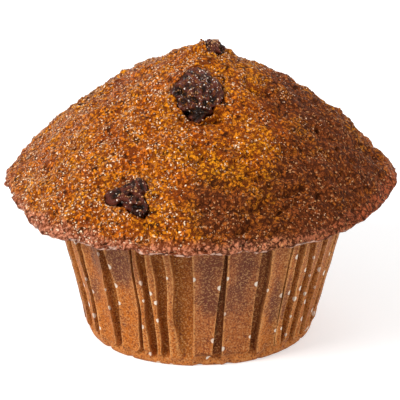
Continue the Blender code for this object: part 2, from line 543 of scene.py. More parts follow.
def crumb_grain_group() -> bpy.types.NodeTree:
    """Build the grain of baked crumb: rounded granules, pores between them for painted shade, and
    bright flecks that are painted glints.

    Returns:
        A group from Place, Scale and Density (the share of flecks) to Height, Pore and
        the painted glint flecks, each from 0 to 1.
    """
    inputs = {"Place": "Vector", "Scale": "Float", "Density": "Float"}
    group = ShaderGroup("crumb grain", inputs, ("Height", "Pore", "Glint"))
    bench = group.bench
    place = bench.scaled(group.inputs["Place"], group.inputs["Scale"])
    warp = bench.noise(place, 0.55, detail=2.5)
    bent = bench.vector_math("ADD", place, bench.scaled(warp.outputs["Color"], 2.2))["Vector"]
    rounded = bench.remap(bench.voronoi(bent, 1.0).outputs["Distance"], 0.05, 0.75, 1.0, 0.0)
    fine = bench.remap(bench.voronoi(bent, 2.3).outputs["Distance"], 0.05, 0.7, 1.0, 0.0)
    rough = bench.remap(bench.noise(place, 1.0, 3.0, 0.7).outputs["Fac"], 0.25, 0.75)
    height = bench.math("ADD", bench.times(rounded, 0.42), bench.times(fine, 0.26))
    bench.feed(group.outputs["Height"], bench.math("ADD", height, bench.times(rough, 0.32)))
    gaps = bench.remap(bench.noise(place, 0.55, 3.0, 0.6).outputs["Fac"], 0.52, 0.66)
    bench.feed(group.outputs["Pore"], bench.times(gaps, bench.remap(rounded, 0.15, 0.75, 1.0, 0.0)))
    # Bright flecks on some cells, painted into the colour as glints.
    flecks = bench.voronoi(bent, 1.35)
    chance = bench.feed_all(bench.node("ShaderNodeSeparateColor"), flecks.outputs["Color"])
    rest = bench.math("SUBTRACT", 1.0, group.inputs["Density"])
    picked = bench.remap(bench.math("SUBTRACT", chance.outputs[0], rest), 0.0, 0.06)
    middle = bench.remap(flecks.outputs["Distance"], 0.20, 0.40, 1.0, 0.0)
    bench.feed(group.outputs["Glint"], bench.times(picked, middle))
    return group.tree


def mottle_group() -> bpy.types.NodeTree:
    """Build soft cloudy patches, as of browning, fat or dust.

    Returns:
        A group from Place, Scale and Contrast to Patch, from 0 to 1.
    """
    inputs = {"Place": "Vector", "Scale": "Float", "Contrast": "Float"}
    group = ShaderGroup("mottle", inputs, ("Patch",))
    bench = group.bench
    cloud = bench.noise(group.inputs["Place"], group.inputs["Scale"], 4.0, 0.6)
    centred = bench.math("SUBTRACT", cloud.outputs["Fac"], 0.5)
    spread = bench.times(centred, group.inputs["Contrast"])
    bench.feed(group.outputs["Patch"], bench.math("ADD", spread, 0.5, clamp=True))
    return group.tree


@dataclass(frozen=True)
class SharedGroups:
    """The shader groups that several finishes use."""

    grain: bpy.types.NodeTree
    mottle: bpy.types.NodeTree

    def clouds(self, bench: ShaderBench, place: Socket, *kinds: Cloud) -> list[Socket]:
        """Place the mottle group once for each kind of cloud.

        Args:
            bench: the bench of the material's tree.
            place: the places to read it at.
            kinds: each cloud's scale and contrast.

        Returns:
            The patches, from 0 to 1.
        """
        return [
            bench.group(self.mottle, Place=place, Scale=scale, Contrast=contrast)["Patch"]
            for scale, contrast in kinds
        ]


def new_material(
    name: str, **constants: object
) -> tuple[bpy.types.Material, ShaderBench, bpy.types.NodeInputs]:
    """Make a node material with a bare Principled shader.

    Args:
        name: the finish's name.
        constants: the shader's values that are the same all over, with spaces as underscores.

    Returns:
        The material, a bench on its tree, and the inputs of its Principled node.
    """
    material = bpy.data.materials.new(name)
    material.use_nodes = True
    sockets = material.node_tree.nodes["Principled BSDF"].inputs
    for label, value in constants.items():
        sockets[label.replace("_", " ")].default_value = value
    return material, ShaderBench(material.node_tree), sockets


# ---------- Finishes ----------


@dataclass(frozen=True)
class CrustFinish:
    """Moist browned crust: golden crumb and darker bake, with painted shade in its pits, pores and
    hollows, and painted glints, sheen and highlights on its granules.
    """

    golden: Colour = (0.96, 0.36, 0.010)
    amber: Colour = (0.72, 0.165, 0.007)
    deep_amber: Colour = (0.30, 0.052, 0.005)
    dark_bake: Colour = (0.260, 0.060, 0.014)
    # Painted shade in the hollows between grains, on the darker bake.
    dark_hollow_shade: Colour = (0.055, 0.011, 0.0030)
    pale_rim: Colour = (0.86, 0.55, 0.42)
    # Painted shade in pores, pits and creases.
    pit: Colour = (0.030, 0.006, 0.0015)
    # Painted shade in the hollows between grains.
    hollow: Colour = (0.14, 0.022, 0.003)
    foot_crumb: Colour = (0.68, 0.250, 0.135)
    lip_red: Colour = (0.52, 0.115, 0.040)
    # Painted glint colours: pale on the moist crumb, dim on the darker bake.
    painted_glint: Colour = (1.0, 0.78, 0.54)
    dull_painted_glint: Colour = (0.56, 0.25, 0.10)
    # Painted sheen: a milky wash of reflected light.
    painted_sheen: Colour = (0.84, 0.40, 0.14)
    # Painted highlight on the raised grains of the darker bake.
    tip_highlight: Colour = (0.66, 0.20, 0.035)
    broad: Cloud = (150.0, 4.0)
    close: Cloud = (480.0, 4.0)
    tiny: Cloud = (1300.0, 4.5)
    cluster: Cloud = (215.0, 4.6)
    grain_size: float = 0.00082
    grain_height: float = 0.00058

    def material(self, groups: SharedGroups) -> bpy.types.Material:
        """Build the crust's material.

        Args:
            groups: the shared shader groups.

        Returns:
            The material.
        """
        material, bench, sockets = new_material(
            "baked_crust",
            Coat_Roughness=0.13,
            Specular_IOR_Level=0.08,
            Specular_Tint=(1.0, 0.66, 0.36, 1.0),
        )
        place = bench.object_places()
        kinds = (self.broad, self.close, self.tiny, self.cluster)
        broad, close, tiny, cluster = groups.clouds(bench, place, *kinds)
        moisture = bench.mark(Mark.MOISTURE)
        browning = bench.mark(Mark.BROWNING)
        # Share of painted glint flecks: most on moist, clustered spots, a few dim ones on the darker
        # bake.
        density = bench.times(moisture, bench.remap(close, 0.10, 0.85, 0.30, 0.95))
        density = bench.times(density, bench.remap(cluster, 0.20, 0.75, 0.25, 1.0))
        density = bench.math("MAXIMUM", density, bench.times(browning, 0.30))
        grain = bench.group(groups.grain, Place=place, Scale=1.0 / self.grain_size, Density=density)
        height = grain["Height"]
        # Share of the darker bake: browning and cloudy tone, plus painted shade and light from the
        # grain relief, lower surfaces darker and raised ones lighter.
        shade = bench.math("ADD", browning, bench.times(bench.math("SUBTRACT", broad, 0.5), 0.35))
        raised = bench.times(bench.math("SUBTRACT", height, 0.5), 0.55)
        shade = bench.math("SUBTRACT", shade, raised)
        # Where the painted sheen lies: clustered spots of the moist crumb.
        sheen_share = bench.times(bench.remap(cluster, 0.50, 1.0, 0.0, 0.32), moisture)
        # Painted highlight: the raised grains of the darker bake are lightened.
        lit = bench.times(bench.remap(height, 0.56, 0.80, 0.0, 0.75), browning)
        thread = bench.times(bench.mark(Mark.RIM), bench.remap(close, 0.35, 0.65))
        # Colour of the painted shade in the hollows.
        depth = bench.mix(bench.remap(browning, 0.15, 0.6), self.hollow, self.dark_hollow_shade)
        # Colour of the painted glints, dimmer on the darker bake.
        glint = bench.mix(bench.remap(browning, 0.2, 0.6), self.painted_glint, self.dull_painted_glint)
        colour = bench.layered(
            self.golden,
            (broad, self.amber),
            (bench.times(close, 0.45), self.amber),
            (bench.remap(tiny, 0.45, 0.95, 0.0, 0.85), self.deep_amber),
            (bench.remap(shade, 0.08, 0.95), self.dark_bake),
            (bench.times(sheen_share, bench.remap(tiny, 0.2, 0.8)), self.painted_sheen),
            (bench.times(lit, bench.remap(tiny, 0.65, 0.25)), self.tip_highlight),
            (bench.mark(Mark.FOOT_BAND), self.foot_crumb),
            (bench.mark(Mark.LIP), self.lip_red),
            # Painted shade: the lower the grain surface, the darker.
            (bench.remap(height, 0.18, 0.62, 0.94, 0.0), depth),
            (thread, self.pale_rim),
            # Painted shade in the pores, and in the pits and creases cut into the crown.
            (bench.times(grain["Pore"], 0.9), self.pit),
            (bench.remap(bench.mark(Mark.CAVITY), 0.15, 0.9), self.pit),
            # Painted glints on the grain's flecks.
            (bench.times(grain["Glint"], 0.92), glint),
        )
        bench.feed(sockets["Base Color"], colour)
        bench.feed(sockets["Roughness"], bench.remap(moisture, 0.0, 1.0, 0.62, 0.40))
        wet_tops = bench.times(moisture, bench.remap(height, 0.50, 0.85, 0.0, 0.38))
        bench.feed(sockets["Coat Weight"], wet_tops)
        normal = bench.bump(height, self.grain_height)
        bench.feed(sockets["Normal"], normal)
        bench.feed(sockets["Coat Normal"], normal)
        return material


@dataclass(frozen=True)
class RaisinFinish:
    """Dark wrinkled raisin skin with clinging crumb and a syrupy coat; painted shade darkens its
    wrinkle valleys, and its ridges and flecks carry painted highlights.
    """

    # The skin's darkest colour, also painted as shade into the wrinkle valleys.
    skin: Colour = (0.008, 0.0025, 0.0015)
    # Reddish-brown of the ridges, kept lighter than the valleys as painted highlight.
    lit_ridge: Colour = (0.105, 0.021, 0.011)
    crumb: Colour = (0.34, 0.12, 0.022)
    # Colour of the painted glint flecks.
    glint: Colour = (1.0, 0.84, 0.72)
    patches: Cloud = (500.0, 3.5)
    grain_scale: float = 1350.0
    grain_height: float = 0.00022

    def material(self, groups: SharedGroups) -> bpy.types.Material:
        """Build the raisin's material.

        Args:
            groups: the shared shader groups.

        Returns:
            The material.
        """
        material, bench, sockets = new_material(
            "raisin_skin",
            Coat_Roughness=0.1,
            Specular_IOR_Level=0.08,
            Specular_Tint=(1.0, 0.7, 0.5, 1.0),
        )
        place = bench.object_places()
        (patch,) = groups.clouds(bench, place, self.patches)
        crumbed = bench.mark(Mark.CRUMBED)
        density = bench.math("ADD", bench.times(crumbed, 0.30), 0.12)
        grain = bench.group(groups.grain, Place=place, Scale=self.grain_scale, Density=density)
        cling = bench.times(crumbed, bench.remap(grain["Height"], 0.45, 0.7))
        colour = bench.layered(
            self.lit_ridge,
            # Painted shade in the wrinkle valleys.
            (bench.remap(bench.mark(Mark.CAVITY), 0.05, 0.6), self.skin),
            (bench.remap(patch, 0.3, 0.9, 0.0, 0.85), self.skin),
            (cling, self.crumb),
            # Painted glints on the grain's flecks.
            (bench.times(grain["Glint"], 0.85), self.glint),
        )
        bench.feed(sockets["Base Color"], colour)
        bench.feed(sockets["Roughness"], bench.remap(patch, 0.0, 1.0, 0.36, 0.6))
        bench.feed(sockets["Coat Weight"], bench.remap(cling, 0.0, 0.6, 0.16, 0.0))
        height = bench.math("ADD", grain["Height"], patch)
        bench.feed(sockets["Normal"], bench.bump(height, self.grain_height))
        return material


@dataclass(frozen=True)
class PaperFinish:
    """Brown greaseproof paper, soaked by fat and printed with pale dots, with painted highlights on its
    fold edges and painted shade in its grooves.
    """

    dry: Colour = (0.400, 0.128, 0.046)
    soaked: Colour = (0.540, 0.145, 0.014)
    stain: Colour = (0.130, 0.036, 0.022)
    # Painted shade in the grooves: dark where dry, warm orange-brown where soaked.
    shade: Colour = (0.075, 0.016, 0.002)
    warm_shade: Colour = (0.260, 0.072, 0.005)
    glow: Colour = (0.58, 0.20, 0.045)
    # Painted highlight along the fold edges.
    fold_light: Colour = (0.88, 0.42, 0.14)
    fibre: Colour = (0.60, 0.32, 0.13)
    dot: Colour = (0.90, 0.78, 0.64)
    blotches: Cloud = (190.0, 3.4)
    flecks: Cloud = (2600.0, 3.6)
    weaves: Cloud = (1100.0, 3.0)
    fibre_height: float = 0.00008
    dot_radius: float = 0.64
    dot_gaps: float = 0.66
    row_pitch: float = 4.7
    column_pitch: float = 10.0

    def dots(self, bench: ShaderBench) -> Socket:
        """Build the mask of the printed dots, which sit along the folds in staggered rows.

        Args:
            bench: the bench of the paper's tree.

        Returns:
            1 on a dot and 0 elsewhere.
        """
        across, up, _ = bench.split(bench.node("ShaderNodeUVMap", uv_map="unfolded").outputs["UV"])
        column = bench.math("ROUND", bench.math("DIVIDE", across, self.column_pitch))
        offset = bench.math("SUBTRACT", across, bench.times(column, self.column_pitch))
        odd = bench.times(bench.math("MODULO", column, 2.0), self.row_pitch / 2)
        raised = bench.math("ADD", up, odd)
        row = bench.math("ROUND", bench.math("DIVIDE", raised, self.row_pitch))
        rise = bench.math("SUBTRACT", raised, bench.times(row, self.row_pitch))
        dice = bench.node("ShaderNodeTexWhiteNoise", noise_dimensions="2D")
        bench.feed(dice.inputs["Vector"], bench.joined(column, row))
        chance = dice.outputs["Value"]
        reach = bench.vector_math("LENGTH", bench.joined(offset, rise))["Value"]
        spread = bench.math("DIVIDE", reach, bench.remap(chance, self.dot_gaps, 1.0, 0.7, 1.15))
        disc = bench.remap(spread, self.dot_radius * 0.74, self.dot_radius, 1.0, 0.0)
        return bench.times(disc, bench.math("GREATER_THAN", chance, self.dot_gaps))

    def material(self, groups: SharedGroups) -> bpy.types.Material:
        """Build the paper's material.

        Args:
            groups: the shared shader groups.

        Returns:
            The material.
        """
        material, bench, sockets = new_material(
            "greaseproof_paper", Specular_IOR_Level=0.1, Specular_Tint=(1.0, 0.8, 0.6, 1.0)
        )
        place = bench.object_places()
        stretched = bench.vector_math("MULTIPLY", place, (1.0, 1.0, 0.55))["Vector"]
        (blotch,) = groups.clouds(bench, stretched, self.blotches)
        fleck, weave = groups.clouds(bench, place, self.flecks, self.weaves)
        height = bench.split(place)[2]
        soak = bench.mark(Mark.SOAK)
        low = bench.remap(height, 0.004, 0.024, 0.45, -0.1)
        feather = bench.math("ADD", bench.mark(Mark.BROWNING), bench.math("SUBTRACT", blotch, 0.62))
        shaded = bench.mix(bench.remap(soak, 0.2, 0.8), self.shade, self.warm_shade)
        band = bench.times(bench.mark(Mark.FOOT_BAND), bench.remap(blotch, 0.15, 0.85, 1.0, 0.45))
        # Painted highlight on the fold edges, weaker in the blotches.
        edge = bench.times(bench.mark(Mark.LIT_FOLD_EDGE), bench.remap(blotch, 0.2, 0.9, 0.9, 0.35))
        printed = bench.times(self.dots(bench), bench.remap(blotch, 0.2, 1.0, 0.95, 0.55))
        colour = bench.layered(
            self.dry,
            (bench.math("ADD", soak, low, clamp=True), self.soaked),
            # Darker towards the top, under the crown: partly fat stain and partly painted shadow of the
            # crown's overhang.
            (bench.remap(height, 0.022, 0.032, 0.0, 0.35), self.stain),
            (bench.remap(feather, 0.0, 0.9, 0.0, 0.85), self.stain),
            (bench.remap(weave, 0.5, 1.0, 0.0, 0.45), self.stain),
            # Painted shade in the grooves and along the foot crease.
            (bench.times(bench.mark(Mark.FOLD_SHADE), 0.90), shaded),
            (band, self.glow),
            (edge, self.fold_light),
            (bench.remap(fleck, 0.56, 0.92, 0.0, 0.6), self.fibre),
            (bench.remap(fleck, 0.44, 0.05, 0.0, 0.85), self.stain),
            (printed, self.dot),
        )
        bench.feed(sockets["Base Color"], colour)
        bench.feed(sockets["Roughness"], bench.remap(blotch, 0.1, 0.9, 0.62, 0.42))
        relief = bench.math("ADD", fleck, bench.times(weave, 2.0))
        bench.feed(sockets["Normal"], bench.bump(relief, self.fibre_height, strength=0.7))
        return material


@dataclass(frozen=True)
class GrainFinish:
    """Loose bran flakes, and pale grains whose colour is painted glint."""

    name: str
    colour: Colour
    second: Colour
    roughness: float
    coat: float
    patches: Cloud = (900.0, 5.0)
    grain_scale: float = 4200.0
    grain_height: float = 0.00005

    def material(self, groups: SharedGroups) -> bpy.types.Material:
        """Build the grains' material.

        Args:
            groups: the shared shader groups.

        Returns:
            The material.
        """
        material, bench, sockets = new_material(
            self.name, Coat_Weight=self.coat, Coat_Roughness=0.12
        )
        place = bench.object_places()
        (patch,) = groups.clouds(bench, place, self.patches)
        grain = bench.group(groups.grain, Place=place, Scale=self.grain_scale, Density=0.2)
        bench.feed(sockets["Base Color"], bench.mix(patch, self.colour, self.second))
        dull = bench.remap(patch, 0.0, 1.0, self.roughness, self.roughness + 0.2)
        bench.feed(sockets["Roughness"], dull)
        bench.feed(sockets["Normal"], bench.bump(grain["Height"], self.grain_height, strength=0.6))
        return material


@dataclass(frozen=True)
class FloorFinish:
    """Plain white studio floor that shows white to the camera and keeps the soft shadow."""

    colour: Colour = (0.80, 0.80, 0.80)
    lift: float = 0.42
    far_lift: float = 0.95
    near: float = 0.16
    far: float = 0.50

    def material(self) -> bpy.types.Material:
        """Build the floor's material.

        Returns:
            The material, which glows towards the camera the more the farther out it is.
        """
        material = bpy.data.materials.new("studio_sweep")
        material.use_nodes = True
        bench = ShaderBench(material.node_tree)
        material.node_tree.nodes.clear()
        matt = bench.feed_all(bench.node("ShaderNodeBsdfDiffuse"), self.colour)
        glow = bench.node("ShaderNodeEmission")
        distance = bench.vector_math("LENGTH", bench.object_places())["Value"]
        lift = bench.remap(distance, self.near, self.far, self.lift, self.far_lift)
        bench.feed(glow.inputs["Strength"], bench.times(bench.seen(), lift))
        both = bench.feed_all(bench.node("ShaderNodeAddShader"), matt.outputs[0], glow.outputs[0])
        bench.feed_all(bench.node("ShaderNodeOutputMaterial"), both.outputs[0])
        return material


# ---------- Cake ----------


@dataclass(frozen=True)
class Crease:
    """A crack or furrow in the crust, drawn on the crown seen from above."""

    path: tuple[tuple[float, float], ...]
    width: float
    depth: float


@dataclass(frozen=True)
class Lumps:
    """Seeded smooth noise: how much it adds, the size of a lump in metres and its seed."""

    amount: float
    size: float
    seed: float

    def at(self, places: np.ndarray) -> np.ndarray:
        """What the lumps add at each place."""
        return self.amount * noise_at(places, self.size, self.seed)


@dataclass(frozen=True)
class Patch:
    """A round area of the crown seen from above: its middle, reach and strength."""

    x: float
    y: float
    reach: float
    strength: float

    def over(self, places: np.ndarray) -> np.ndarray:
        """Strength of the patch at each place."""
        gap = np.hypot(places[:, 0] - self.x, places[:, 1] - self.y)
        return self.strength * np.exp(-((gap / self.reach) ** 2))


@dataclass
class Cake:
    """The cake: its mushroomed crown and lip, worked into crumb from the CAD shape."""

    finish: CrustFinish = CrustFinish()
    voxel: float = 0.00044
    hidden_below: float = 0.0302
    plug_steps: tuple[tuple[float, float], ...] = (
        (0.0006, 0.95),
        (0.0100, 0.90),
        (0.0100, 0.90),
        (0.0080, 0.90),
    )
    relief_from: float = 0.0305
    relief_full: float = 0.0325
    knobs: Lumps = Lumps(0.00090, 0.0040, 3.0)
    crumbs: Lumps = Lumps(0.00050, 0.0017, 9.0)
    grain_size: float = 0.0010
    grain_height: float = 0.00026
    settle: float = 0.00030
    peak_round: float = 0.0006
    peak_reach: float = 0.0018
    strands: Patch = Patch(0.0130, -0.0350, 0.0095, 1.0)
    strand_way: tuple[float, float, float] = (0.76, 0.60, 0.25)
    strand_stretch: float = 0.78
    strand_lumps: Lumps = Lumps(0.00070, 0.0013, 5.0)
    band_wrinkles: Lumps = Lumps(0.00045, 0.0024, 15.0)
    browning_clouds: Lumps = Lumps(0.22, 0.0075, 6.0)
    browning_floor: float = 0.05
    band_waver: Lumps = Lumps(0.0011, 0.0036, 8.0)
    band_heights: tuple[float, float] = (0.0374, 0.0354)
    band_leans: tuple[float, float] = (0.25, -0.15)
    band_outside: float = 0.030
    # Direction and reach of the side, on the right, towards which the pale foot band fades.
    right_side: tuple[float, float] = (-26.0, 40.0)
    lip_waver: Lumps = Lumps(0.0006, 0.0030, 22.0)
    lip_radii: tuple[float, float] = (0.0404, 0.0424)
    lip_side: tuple[float, float] = (-20.0, 28.0)
    rim_leans: tuple[float, float] = (-0.62, -0.85)
    rim_outside: float = 0.034
    trims: tuple[Patch, ...] = (
        Patch(0.0300, -0.0010, 0.0085, 0.0009),
        Patch(-0.0148, 0.0000, 0.0060, -0.0008),
        Patch(0.0050, 0.0010, 0.0022, -0.0006),
        Patch(0.0098, 0.0000, 0.0028, 0.0006),
        Patch(-0.0310, -0.0300, 0.0090, 0.0012),
        Patch(-0.0420, -0.0100, 0.0045, -0.0008),
        Patch(-0.0350, 0.0000, 0.0060, -0.0006),
    )
    collar_reach: float = 0.0016
    collar_rise: float = 0.0006
    collar_waver: Lumps = Lumps(0.9, 0.0022, 12.0)
    pit_spacing: float = 0.0036
    pit_depth: float = 0.0008
    crease_wander: Lumps = Lumps(0.0006, 0.0018, 4.0)
    creases_above: float = 0.034
    creases: tuple[Crease, ...] = (
        Crease(((0.0045, -0.0190), (0.0005, -0.0205), (-0.0030, -0.0190)), 0.0009, 0.0014),
        Crease(((-0.0008, -0.0258), (0.0004, -0.0272), (-0.0006, -0.0290)), 0.0006, 0.0008),
        Crease(((0.0035, -0.0262), (0.0068, -0.0254), (0.0105, -0.0262)), 0.0006, 0.0008),
        Crease(((0.0110, -0.0098), (0.0138, -0.0092), (0.0160, -0.0078)), 0.0006, 0.0009),
        Crease(((-0.0126, -0.0355), (-0.0120, -0.0385), (-0.0112, -0.0415)), 0.0006, 0.0008),
        Crease(((0.0220, -0.0280), (0.0150, -0.0335), (0.0085, -0.0375)), 0.0007, 0.0009),
        Crease(((0.0205, -0.0315), (0.0140, -0.0368), (0.0075, -0.0405)), 0.0007, 0.0009),
        Crease(((0.0100, -0.0300), (0.0160, -0.0290), (0.0205, -0.0262)), 0.0006, 0.0006),
        Crease(((-0.0200, 0.0080), (-0.0160, 0.0120), (-0.0155, 0.0170)), 0.0007, 0.0009),
        Crease(((0.0120, 0.0150), (0.0165, 0.0185), (0.0215, 0.0190)), 0.0007, 0.0009),
    )
    # Patches that darken the crown, the strongest on the right side and the front: partly browning and
    # partly painted shade of the right side, away from the key lamp. The negative ones lighten golden
    # spots.
    dark_and_shaded_patches: tuple[Patch, ...] = (
        Patch(0.0200, -0.0040, 0.0090, 0.75),
        Patch(0.0330, -0.0080, 0.0120, 0.58),
        Patch(0.0340, -0.0230, 0.0130, 0.85),
        Patch(0.0210, -0.0350, 0.0090, 0.75),
        Patch(0.0080, -0.0380, 0.0070, 0.60),
        Patch(0.0010, -0.0360, 0.0055, 0.65),
        Patch(-0.0070, -0.0060, 0.0110, -0.60),
        Patch(-0.0020, -0.0240, 0.0070, -0.25),
        Patch(0.0060, -0.0040, 0.0060, -0.20),
        Patch(-0.0100, 0.0300, 0.0150, 0.35),
        Patch(-0.0330, 0.0180, 0.0130, 0.30),
        Patch(0.0200, 0.0220, 0.0130, 0.45),
    )

    def worked_mesh(self) -> bpy.types.Object:
        """Smooth the CAD cake and give it an even fine mesh, left coarse where the case hides it.

        Returns:
            The piece, not yet in relief.
        """
        piece = new_object("crumb_cake", cad_copy("cake"))
        soften(piece)
        even = piece.modifiers.new("even", "REMESH")
        even.mode = "VOXEL"
        even.voxel_size = self.voxel
        settle_modifiers(piece)
        shape = bmesh.new()
        shape.from_mesh(piece.data)
        cut = bmesh.ops.bisect_plane(
            shape,
            geom=[*shape.verts, *shape.edges, *shape.faces],
            plane_co=(0.0, 0.0, self.hidden_below),
            plane_no=(0.0, 0.0, 1.0),
            clear_inner=True,
        )
        rim = [item for item in cut["geom_cut"] if isinstance(item, bmesh.types.BMEdge)]
        for drop, shrink in self.plug_steps:
            rim = drawn_rim(shape, rim)
            for corner in corners_of(rim):
                corner.co = Vector((corner.co.x * shrink, corner.co.y * shrink, corner.co.z - drop))
        bmesh.ops.edgeloop_fill(shape, edges=rim)
        every_way = {"use_axis_x": True, "use_axis_y": True, "use_axis_z": True}
        bmesh.ops.smooth_vert(shape, verts=shape.verts, factor=0.5, **every_way)
        bmesh.ops.recalc_face_normals(shape, faces=shape.faces)
        shape.to_mesh(piece.data)
        shape.free()
        piece.data.shade_smooth()
        return piece

    def relief(
        self, places: np.ndarray, normals: np.ndarray, marks: dict[Mark, np.ndarray]
    ) -> np.ndarray:
        """Work out how far each vertex moves along its normal.

        Args:
            places: the vertices' places.
            normals: their normals.
            marks: the marks so far, to which the cavities are added.

        Returns:
            One distance in metres for each vertex.
        """
        band = marks[Mark.FOOT_BAND]
        smooth_lip = marks[Mark.LIP]
        strands = self.strands.over(places)
        along = np.array(self.strand_way)
        stretched = places - self.strand_stretch * (places @ along)[:, None] * along
        move = self.knobs.at(places)
        move += self.crumbs.at(places) * (1.0 - strands)
        move += self.strand_lumps.at(stretched) * strands
        bead, _ = cells_at(places, self.grain_size, 2.0)
        move += self.grain_height * (0.9 - 1.5 * bead) - self.settle
        move += sum(trim.over(places) for trim in self.trims)
        from_peak = np.hypot(places[:, 0], places[:, 1])
        move -= self.peak_round * np.exp(-((from_peak / self.peak_reach) ** 2))
        distance, owner = cells_at(places, self.pit_spacing, 7.0)
        radius = 0.10 + 0.16 * owner
        amount = 0.35 + 0.65 * np.maximum(marks[Mark.BROWNING], band)
        move -= band * np.abs(self.band_wrinkles.at(places))
        pit = np.clip(1.0 - (distance / radius) ** 2, 0.0, 1.0) * (owner > 0.45) * amount
        move -= self.pit_depth * pit
        # The pits and creases are marked as cavities, where the crust's material paints shade.
        cavity = pit.copy()
        wander = places + self.crease_wander.at(places)[:, None]
        for crease in self.creases:
            cut = np.exp(-((distance_to_path(wander, crease.path) / crease.width) ** 2))
            cut *= places[:, 2] > self.creases_above
            move -= crease.depth * cut
            cavity = np.maximum(cavity, 0.45 * cut)
        near = raisin_distance(places)
        collar = smooth_steps(self.collar_reach, 0.0003, near)
        collar *= 0.55 + self.collar_waver.at(places)
        outward = places / np.linalg.norm(places, axis=1)[:, None]
        facing = np.clip((normals * outward).sum(axis=1), 0.0, 1.0)
        move += self.collar_rise * collar * facing
        marks[Mark.CAVITY] = cavity
        move *= 1.0 - 0.75 * smooth_lip
        return move * smooth_steps(self.relief_from, self.relief_full, places[:, 2])

    def surface_marks(self, places: np.ndarray, normals: np.ndarray) -> dict[Mark, np.ndarray]:
        """Work out browning, foot band, lip, rim and moisture for each vertex.

        Args:
            places: the vertices' places.
            normals: their normals.

        Returns:
            The marks by name.
        """
        radius = np.hypot(places[:, 0], places[:, 1])
        upright = normals[:, 2]
        angle = np.degrees(np.arctan2(places[:, 1], places[:, 0]))
        sides = (self.right_side, self.lip_side)
        right_side, lip_side = (np.exp(-(((angle - middle) / reach) ** 2)) for middle, reach in sides)
        browning = sum(patch.over(places) for patch in self.dark_and_shaded_patches)
        browning += self.browning_clouds.at(places) + self.browning_floor
        under = smooth_steps(*self.band_heights, places[:, 2] + self.band_waver.at(places))
        foot_band = np.maximum(under, smooth_steps(*self.band_leans, upright))
        foot_band *= (radius > self.band_outside) * (1.0 - 0.85 * right_side)
        lip = lip_side * smooth_steps(*self.lip_radii, radius + self.lip_waver.at(places))
        rim = smooth_steps(*self.rim_leans, upright) * (radius > self.rim_outside)
        # Moister towards the left, the side the key lamp lights: besides the real coat, the painted
        # glints and sheen gather there.
        lit_left_side = smooth_steps(-0.03, 0.025, -places[:, 0] + 0.25 * places[:, 1])
        browning = np.clip(browning, 0.0, 1.0)
        moisture = np.clip(0.35 + 0.65 * lit_left_side - 0.55 * browning - 0.5 * foot_band, 0.05, 1.0)
        return {
            Mark.BROWNING: browning,
            Mark.FOOT_BAND: foot_band,
            Mark.LIP: lip,
            Mark.RIM: rim,
            Mark.MOISTURE: moisture,
        }

    def build(self, groups: SharedGroups) -> bpy.types.Object:
        """Make the finished cake.

        Args:
            groups: the shared shader groups.

        Returns:
            The dressed piece.
        """
        piece = self.worked_mesh()
        mesh = piece.data
        places = corner_array(mesh, "co")
        normals = corner_array(mesh, "normal")
        marks = self.surface_marks(places, normals)
        move_corners(mesh, places + normals * self.relief(places, normals, marks)[:, None])
        for mark, values in marks.items():
            store_mark(mesh, mark, values)
        mesh.materials.append(self.finish.material(groups))
        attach(piece, BODY)
        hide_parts("cake")
        return piece


# ---------- Raisins ----------


@dataclass
class Raisin:
    """One raisin, wrinkled from its CAD shape."""

    node: str
    seed: float
    crumbed: float
    wrinkle_depth: float = 0.00090
    wrinkle_size: float = 0.0019
    fine_depth: float = 0.00020
    fine_size: float = 0.0009
    swell: float = 0.00030

    def build(self, material: bpy.types.Material) -> bpy.types.Object:
        """Make the finished raisin.

        Args:
            material: the raisins' shared material.

        Returns:
            The dressed piece.
        """
        piece = new_object(self.node + "_skin", cad_copy(self.node))
        soften(piece)
        settle_modifiers(piece)
        mesh = piece.data
        mesh.shade_smooth()
        places = corner_array(mesh, "co")
        normals = corner_array(mesh, "normal")
        folds = 1.0 - 2.2 * np.abs(noise_at(places, self.wrinkle_size, self.seed))
        fine = 1.0 - 2.0 * np.abs(noise_at(places, self.fine_size, self.seed + 3.0))
        move = self.wrinkle_depth * (folds - 0.75) + self.fine_depth * (fine - 0.8) + self.swell
        centre = places.mean(axis=0)
        up = normals[:, 2] * 0.5 - normals[:, 1] * 0.5
        patchy = up + 0.5 * noise_at(places, 0.0022, self.seed + 8.0)
        dust = self.crumbed * smooth_steps(0.0, 0.75, patchy)
        spread = np.linalg.norm(places - centre, axis=1)
        dust *= smooth_steps(spread.max(), 0.55 * spread.max(), spread)
        move_corners(mesh, places + normals * move[:, None])
        # The wrinkle valleys are marked; the skin's material paints shade into them.
        store_mark(mesh, Mark.CAVITY, np.clip(0.55 - 0.75 * folds, 0.0, 1.0))
        store_mark(mesh, Mark.CRUMBED, dust)
        mesh.materials.append(material)
        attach(piece, BODY)
        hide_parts(self.node)
        return piece


# ---------- Paper case ----------


@dataclass(frozen=True)
class Pleat:
    """One pleat: crest and groove widths in degrees, and how it changes towards the foot."""

    crest: float
    groove: float
    foot_gap: float = 0.0
    shallow_foot: float = 0.0
    soak: float = 0.5


FRONT_PLEATS = (
    Pleat(3.2, 8.0, soak=0.8),
    Pleat(3.2, 4.8, soak=0.9),
    Pleat(11.2, 4.8, soak=0.7),
    Pleat(10.2, 2.4, soak=0.7),
    Pleat(2.7, 3.1, soak=0.7),
    Pleat(2.7, 3.8, soak=0.6),
    Pleat(2.7, 8.8, shallow_foot=0.8, soak=0.45),
    Pleat(12.2, 1.5, foot_gap=7.6, soak=0.0),
    Pleat(13.2, 5.2, soak=0.0),
    Pleat(7.3, 2.4, soak=0.35),
    Pleat(2.7, 3.3),
    Pleat(2.7, 4.8),
    Pleat(3.2, 5.8),
    Pleat(6.0, 6.0),
    Pleat(4.0, 4.0),
)
BROAD_PLEAT = len(FRONT_PLEATS) // 2


@dataclass(frozen=True)
class Stain:
    """A dark fat stain on the paper: its direction, height, reach each way and strength."""

    direction: float
    height: float
    across: float
    tall: float
    strength: float

    def at(self, turn: float, height: float) -> float:
        """Strength of the stain at a direction and height."""
        aside = turn_between(turn, self.direction) / self.across
        return self.strength * math.exp(-(aside**2) - ((height - self.height) / self.tall) ** 2)


